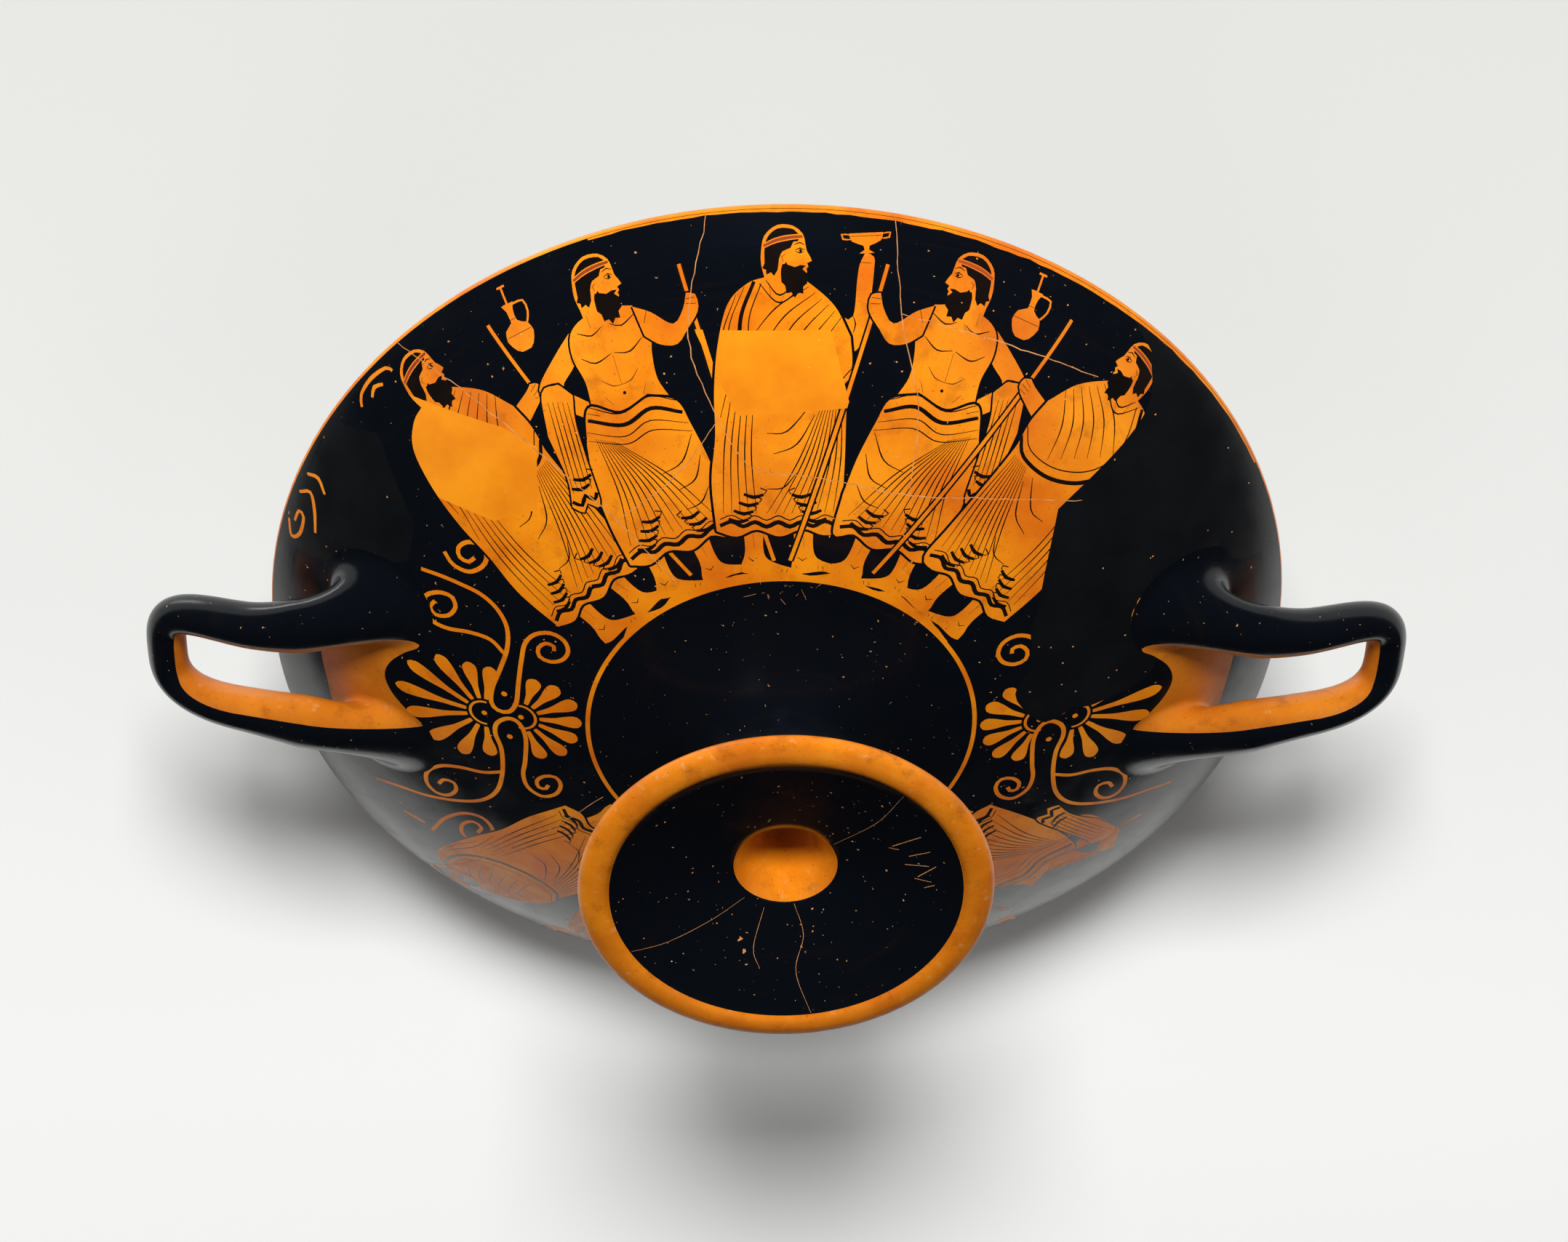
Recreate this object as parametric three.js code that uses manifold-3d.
// A Greek kylix: a wide, shallow drinking cup of fired clay on a stem and a round foot, with two
// loop handles. Bowl, stem, foot and handles are luted together before firing, so the cup is one
// solid. Millimetres, +Z up. The origin is on the cup's axis, where the foot stands.
import * as THREE from "three";
import { mergeVertices } from "three/addons/utils/BufferGeometryUtils.js";
import Module from "manifold-3d";

// Bowl
const MOUTH_RADIUS = 160; // to the outermost point of the lip
const BOWL_HEIGHT = 56.5; // of the outer curve, from where it would meet the axis up to the lip
const BOWL_REACH = 1.034; // the outer curve would stand upright at this many mouth radii
const BOWL_FULLNESS = 0.65; // 0.5 makes the curve an ellipse; more straightens it towards the lip
const LIP_THICKNESS = 3.4;
const WALL_THICKNESS = 5;
const FLOOR_THICKNESS = 7.5;
const LIP_TAPER = 26; // the wall thins to the lip over this width

// Stem
const STEM_HEIGHT = 63; // from the foot's edge up to the lowest point of the bowl's outer curve
const STEM_RADIUS = 12.5;
const STEM_WAIST = 0.52; // share of the stem's height at which it is narrowest
const STEM_FLARE_RADIUS = 48; // where the stem's curve hands over to the bowl's
const STEM_HOLLOW_RADIUS = 15.5; // mouth of the hollow that runs up into the stem
const STEM_HOLLOW_DEPTH = 22;

// Foot
const FOOT_RADIUS = 61.8;
const FOOT_EDGE_HEIGHT = 5.8; // the edge is a half round
const REST_RING_INSET = 2.6; // from the foot's outermost point in to the flat resting ring
const REST_RING_WIDTH = 5.4;
const RING_STEP_WIDTH = 1.3; // the little step from the resting ring into the hollow underside
const RING_STEP_HEIGHT = 1.5;
const UNDERSIDE_RISE = 12; // from the top of that step to the mouth of the stem's hollow

// Handles
const HANDLE_REACH = 38; // how far the loop's outer face stands out past the lip
const HANDLE_TIP_DROP = 17; // from the top of the lip down to the centre of the loop's tip
const HANDLE_SAG_DROP = 30.5; // the same for the lowest stretch of the arms
const HANDLE_SAG_REACH = 19; // from the lip in to that stretch
const HANDLE_TIP_THICKNESS = 12.4;
const HANDLE_ARM_THICKNESS = 14;
const HANDLE_ARM_SPACING = 36; // between the arms' centre lines, outside the lip
const HANDLE_ROOT_SPACING = 60; // the same where they end inside the wall
const HANDLE_ROOT_INSET = 47; // from the lip in to that end
const HANDLE_ROOT_THICKNESS = 34; // across the flared root
const HANDLE_FLARE_LENGTH = 60;
const HANDLE_BEND_LENGTH = 25; // of the loop's round end, from the arms to the tip
const HANDLE_SQUARENESS = 3.4; // 2 makes the round end an ellipse; more squares its corners

// Fineness of the facets
const ROUND_SEGMENTS = 64;
const BOWL_STEPS = 9;
const CURVE_STEPS = 7;
const EDGE_STEPS = 7;
const LIP_STEPS = 4;
const HANDLE_SIDES = 12;
const HANDLE_STEPS = 30;

const HALF_LIP = LIP_THICKNESS / 2;
const LIP_LEAN = 0.1; // share of the lip's thickness by which its half circle overhangs the wall
const LIP_START_RADIUS = MOUTH_RADIUS - LIP_LEAN * LIP_THICKNESS;
const BOWL_BOTTOM_Z = FOOT_EDGE_HEIGHT + STEM_HEIGHT;
const LIP_START_Z = BOWL_BOTTOM_Z + BOWL_HEIGHT;

const CLAY = new THREE.MeshStandardMaterial({ color: 0x171412, roughness: 0.22, metalness: 0 });
CLAY.name = "black_gloss_on_clay";

const wasm = await Module();
wasm.setup();

// The bowl's outer curve at a radius: its height, and its outward unit normal in the (radius, z)
// plane.
function bowlOuter(radius) {
  const rise = (r) => 1 - (1 - (r / (MOUTH_RADIUS * BOWL_REACH)) ** 2) ** BOWL_FULLNESS;
  const height = (r) => BOWL_BOTTOM_Z + (BOWL_HEIGHT * rise(r)) / rise(LIP_START_RADIUS);
  const step = 0.01;
  const slope = (height(radius + step) - height(radius - step)) / (2 * step);
  const normal = new THREE.Vector2(slope, -1).normalize();
  return { point: new THREE.Vector2(radius, height(radius)), normal, slope };
}

// The wall's thickness under a point of the outer curve: thin at the lip, thicker in the floor.
function wallThickness(radius) {
  const toLip = THREE.MathUtils.smoothstep(radius, LIP_START_RADIUS - LIP_TAPER, LIP_START_RADIUS);
  const toFloor = 1 - THREE.MathUtils.smoothstep(radius, 0, MOUTH_RADIUS / 2);
  return (
    WALL_THICKNESS +
    (LIP_THICKNESS - WALL_THICKNESS) * toLip +
    (FLOOR_THICKNESS - WALL_THICKNESS) * toFloor
  );
}

// A curve inside the wall or on its inner face, from the axis out to the lip. A depth of 0 is the
// outer face and 1 the inner one.
function wallCurve(depth) {
  const points = [];
  const steps = BOWL_STEPS + 2;
  for (let i = 0; i <= steps; i++) {
    const radius = (LIP_START_RADIUS * i) / steps;
    const { point, normal } = bowlOuter(radius);
    const inner = point.addScaledVector(normal, -depth * wallThickness(radius));
    points.push(new THREE.Vector2(i === 0 ? 0 : inner.x, inner.y));
  }
  return points;
}

function bezierPoints(start, control1, control2, end, steps) {
  const [a, b, c, d] = [start, control1, control2, end].map(([x, y]) => new THREE.Vector2(x, y));
  return new THREE.CubicBezierCurve(a, b, c, d).getPoints(steps);
}

// The hollow in the stem, the foot's underside and its resting ring.
function undersideCurve() {
  const mouthZ = RING_STEP_HEIGHT + UNDERSIDE_RISE;
  const topZ = mouthZ + STEM_HOLLOW_DEPTH;
  const ringOuter = FOOT_RADIUS - REST_RING_INSET;
  const ringInner = ringOuter - REST_RING_WIDTH;
  return [
    ...bezierPoints(
      [0, topZ],
      [STEM_HOLLOW_RADIUS * 0.5, topZ],
      [STEM_HOLLOW_RADIUS * 0.5, mouthZ + STEM_HOLLOW_DEPTH * 0.4],
      [STEM_HOLLOW_RADIUS, mouthZ],
      CURVE_STEPS,
    ),
    new THREE.Vector2(ringInner - RING_STEP_WIDTH, RING_STEP_HEIGHT),
    new THREE.Vector2(ringInner, 0),
    new THREE.Vector2(ringOuter, 0),
  ];
}

// The foot's round edge and upper side, then the stem, up to where the bowl's own curve starts.
function footAndStemCurve() {
  const waistRise = STEM_HEIGHT * STEM_WAIST;
  const waistZ = FOOT_EDGE_HEIGHT + waistRise;
  const ringOuter = FOOT_RADIUS - REST_RING_INSET;
  const edgeTop = FOOT_RADIUS - FOOT_EDGE_HEIGHT / 2;
  const bulge = FOOT_RADIUS + (FOOT_RADIUS - Math.min(ringOuter, edgeTop)) / 3;
  const { point: join, slope } = bowlOuter(STEM_FLARE_RADIUS);
  const run = (STEM_FLARE_RADIUS - STEM_RADIUS) * 0.55;
  const edge = bezierPoints(
    [ringOuter, 0],
    [bulge, 0],
    [bulge, FOOT_EDGE_HEIGHT],
    [edgeTop, FOOT_EDGE_HEIGHT],
    EDGE_STEPS,
  );
  const upperSide = bezierPoints(
    [edgeTop, FOOT_EDGE_HEIGHT],
    [(FOOT_RADIUS + STEM_RADIUS) * 0.4, FOOT_EDGE_HEIGHT + 0.12 * waistRise],
    [STEM_RADIUS, waistZ - 0.62 * waistRise],
    [STEM_RADIUS, waistZ],
    CURVE_STEPS,
  );
  const flare = bezierPoints(
    [STEM_RADIUS, waistZ],
    [STEM_RADIUS, waistZ + 0.7 * (join.y - waistZ)],
    [STEM_FLARE_RADIUS - run, join.y - run * slope],
    [join.x, join.y],
    CURVE_STEPS,
  );
  return [...edge.slice(1), ...upperSide.slice(1), ...flare.slice(1, -1)];
}

function outerBowlCurve() {
  const points = [];
  for (let i = 0; i <= BOWL_STEPS; i++) {
    const share = i / BOWL_STEPS;
    const radius = THREE.MathUtils.lerp(STEM_FLARE_RADIUS, LIP_START_RADIUS, share);
    points.push(bowlOuter(radius).point);
  }
  return points;
}

// The lip is a half circle about the middle of the wall's upper edge.
function lipCurve() {
  const { point, normal } = bowlOuter(LIP_START_RADIUS);
  const middle = point.clone().addScaledVector(normal, -HALF_LIP);
  const points = [];
  for (let i = 1; i < LIP_STEPS; i++) {
    const turned = normal.clone().rotateAround(new THREE.Vector2(), (Math.PI * i) / LIP_STEPS);
    points.push(turned.multiplyScalar(HALF_LIP).add(middle));
  }
  return points;
}

// Turns a profile of (radius, z) points, from axis to axis, into a solid about +Z.
function latheSolid(profile) {
  return solidOf(new THREE.LatheGeometry(profile, ROUND_SEGMENTS).rotateX(Math.PI / 2));
}

function solidOf(geometry) {
  geometry.deleteAttribute("normal");
  geometry.deleteAttribute("uv");
  const merged = mergeVertices(geometry, 1e-3);
  return new wasm.Manifold(
    new wasm.Mesh({
      numProp: 3,
      vertProperties: merged.attributes.position.array,
      triVerts: new Uint32Array(merged.index.array),
    }),
  );
}

function geometryOf(solid) {
  const mesh = solid.getMesh();
  const geometry = new THREE.BufferGeometry();
  geometry.setAttribute("position", new THREE.BufferAttribute(mesh.vertProperties, 3));
  geometry.setIndex(new THREE.BufferAttribute(mesh.triVerts, 1));
  geometry.computeVertexNormals();
  return geometry;
}

// Centre line of the handle on the +X side: out from one root, round the loop and back to the
// other. Each arm leaves the wall downwards, sags, and rises towards the tip.
class HandleCurve extends THREE.Curve {
  constructor() {
    super();
    this.tip = MOUTH_RADIUS + HANDLE_REACH - HANDLE_TIP_THICKNESS / 2;
    this.bend = this.tip - HANDLE_BEND_LENGTH;
    this.root = MOUTH_RADIUS - HANDLE_ROOT_INSET;
    this.sag = MOUTH_RADIUS - HANDLE_SAG_REACH;
    this.sagZ = LIP_START_Z + HALF_LIP - HANDLE_SAG_DROP;
    this.tipZ = LIP_START_Z + HALF_LIP - HANDLE_TIP_DROP;
    const rootRadius = Math.hypot(this.root, HANDLE_ROOT_SPACING / 2);
    this.rootZ = bowlOuter(rootRadius).point.y + HANDLE_ARM_THICKNESS / 2;
  }
  getPoint(t, target = new THREE.Vector3()) {
    const share = Math.abs(2 * t - 1);
    const side = Math.sign(2 * t - 1);
    const bendShare = 0.5; // of the parameter's range, not of the length
    const halfArm = HANDLE_ARM_SPACING / 2;
    const flare = (HANDLE_ROOT_SPACING - HANDLE_ARM_SPACING) / 2;
    let out;
    let across;
    if (share < bendShare) {
      const turn = (Math.PI / 2) * (share / bendShare);
      out = this.bend + HANDLE_BEND_LENGTH * Math.cos(turn) ** (2 / HANDLE_SQUARENESS);
      across = halfArm * Math.sin(turn) ** (2 / HANDLE_SQUARENESS);
    } else {
      const inward = (share - bendShare) / (1 - bendShare);
      out = THREE.MathUtils.lerp(this.bend, this.root, inward);
      across = halfArm + flare * inward ** 1.6;
    }
    const [end, endZ] = out > this.sag ? [this.tip, this.tipZ] : [this.root, this.rootZ];
    const fromSag = (out - this.sag) / (end - this.sag);
    return target.set(out, side * across, THREE.MathUtils.lerp(this.sagZ, endZ, fromSag ** 2));
  }
}

// Sweeps an ellipse along the handle's centre line, flared at both roots and slimmer at the tip.
function handleSolid(trim) {
  const curve = new HandleCurve();
  const length = curve.getLength();
  const vertices = [];
  const triangles = [];
  for (let i = 0; i <= HANDLE_STEPS; i++) {
    const t = i / HANDLE_STEPS;
    const centre = curve.getPointAt(t);
    const along = curve.getTangentAt(t);
    const sideways = new THREE.Vector3(0, 0, 1).cross(along).normalize();
    const upward = along.clone().cross(sideways);
    const fromRoot = Math.min(t, 1 - t) * length;
    const flare = Math.max(0, 1 - fromRoot / HANDLE_FLARE_LENGTH) ** 1.5;
    const slim = THREE.MathUtils.smoothstep(centre.x, curve.bend, curve.tip);
    const bar = THREE.MathUtils.lerp(HANDLE_ARM_THICKNESS, HANDLE_TIP_THICKNESS, slim);
    const width = THREE.MathUtils.lerp(bar, HANDLE_ROOT_THICKNESS, flare);
    for (let j = 0; j < HANDLE_SIDES; j++) {
      const angle = (2 * Math.PI * j) / HANDLE_SIDES;
      const point = centre
        .clone()
        .addScaledVector(sideways, (width / 2) * Math.cos(angle))
        .addScaledVector(upward, (bar / 2) * Math.sin(angle));
      vertices.push(...point.toArray());
    }
  }
  const at = (i, j) => i * HANDLE_SIDES + (j % HANDLE_SIDES);
  for (let i = 0; i < HANDLE_STEPS; i++)
    for (let j = 0; j < HANDLE_SIDES; j++) {
      triangles.push(at(i, j), at(i + 1, j + 1), at(i + 1, j));
      triangles.push(at(i, j), at(i, j + 1), at(i + 1, j + 1));
    }
  for (let j = 1; j < HANDLE_SIDES - 1; j++) {
    triangles.push(at(0, 0), at(0, j + 1), at(0, j));
    triangles.push(at(HANDLE_STEPS, 0), at(HANDLE_STEPS, j), at(HANDLE_STEPS, j + 1));
  }
  const geometry = new THREE.BufferGeometry();
  geometry.setAttribute("position", new THREE.Float32BufferAttribute(vertices, 3));
  geometry.setIndex(triangles);
  return solidOf(geometry).subtract(trim);
}

function cup() {
  const inner = wallCurve(1);
  const body = latheSolid([
    ...undersideCurve(),
    ...footAndStemCurve(),
    ...outerBowlCurve(),
    ...lipCurve(),
    ...inner.reverse(),
  ]);
  // The handles are trimmed half-way through the wall, so nothing of them shows inside the bowl.
  const midWall = wallCurve(0.5);
  const clearHeight = LIP_START_Z + HANDLE_ARM_THICKNESS;
  const trim = latheSolid([
    ...midWall,
    new THREE.Vector2(midWall.at(-1).x, clearHeight),
    new THREE.Vector2(0, clearHeight),
  ]);
  const right = handleSolid(trim);
  const left = right.rotate([0, 0, 180]);
  return body.add(right).add(left);
}

const kylix = new THREE.Group();
kylix.name = "kylix";
const mesh = new THREE.Mesh(geometryOf(cup()), CLAY);
mesh.name = "cup";
kylix.add(mesh);

export default kylix;
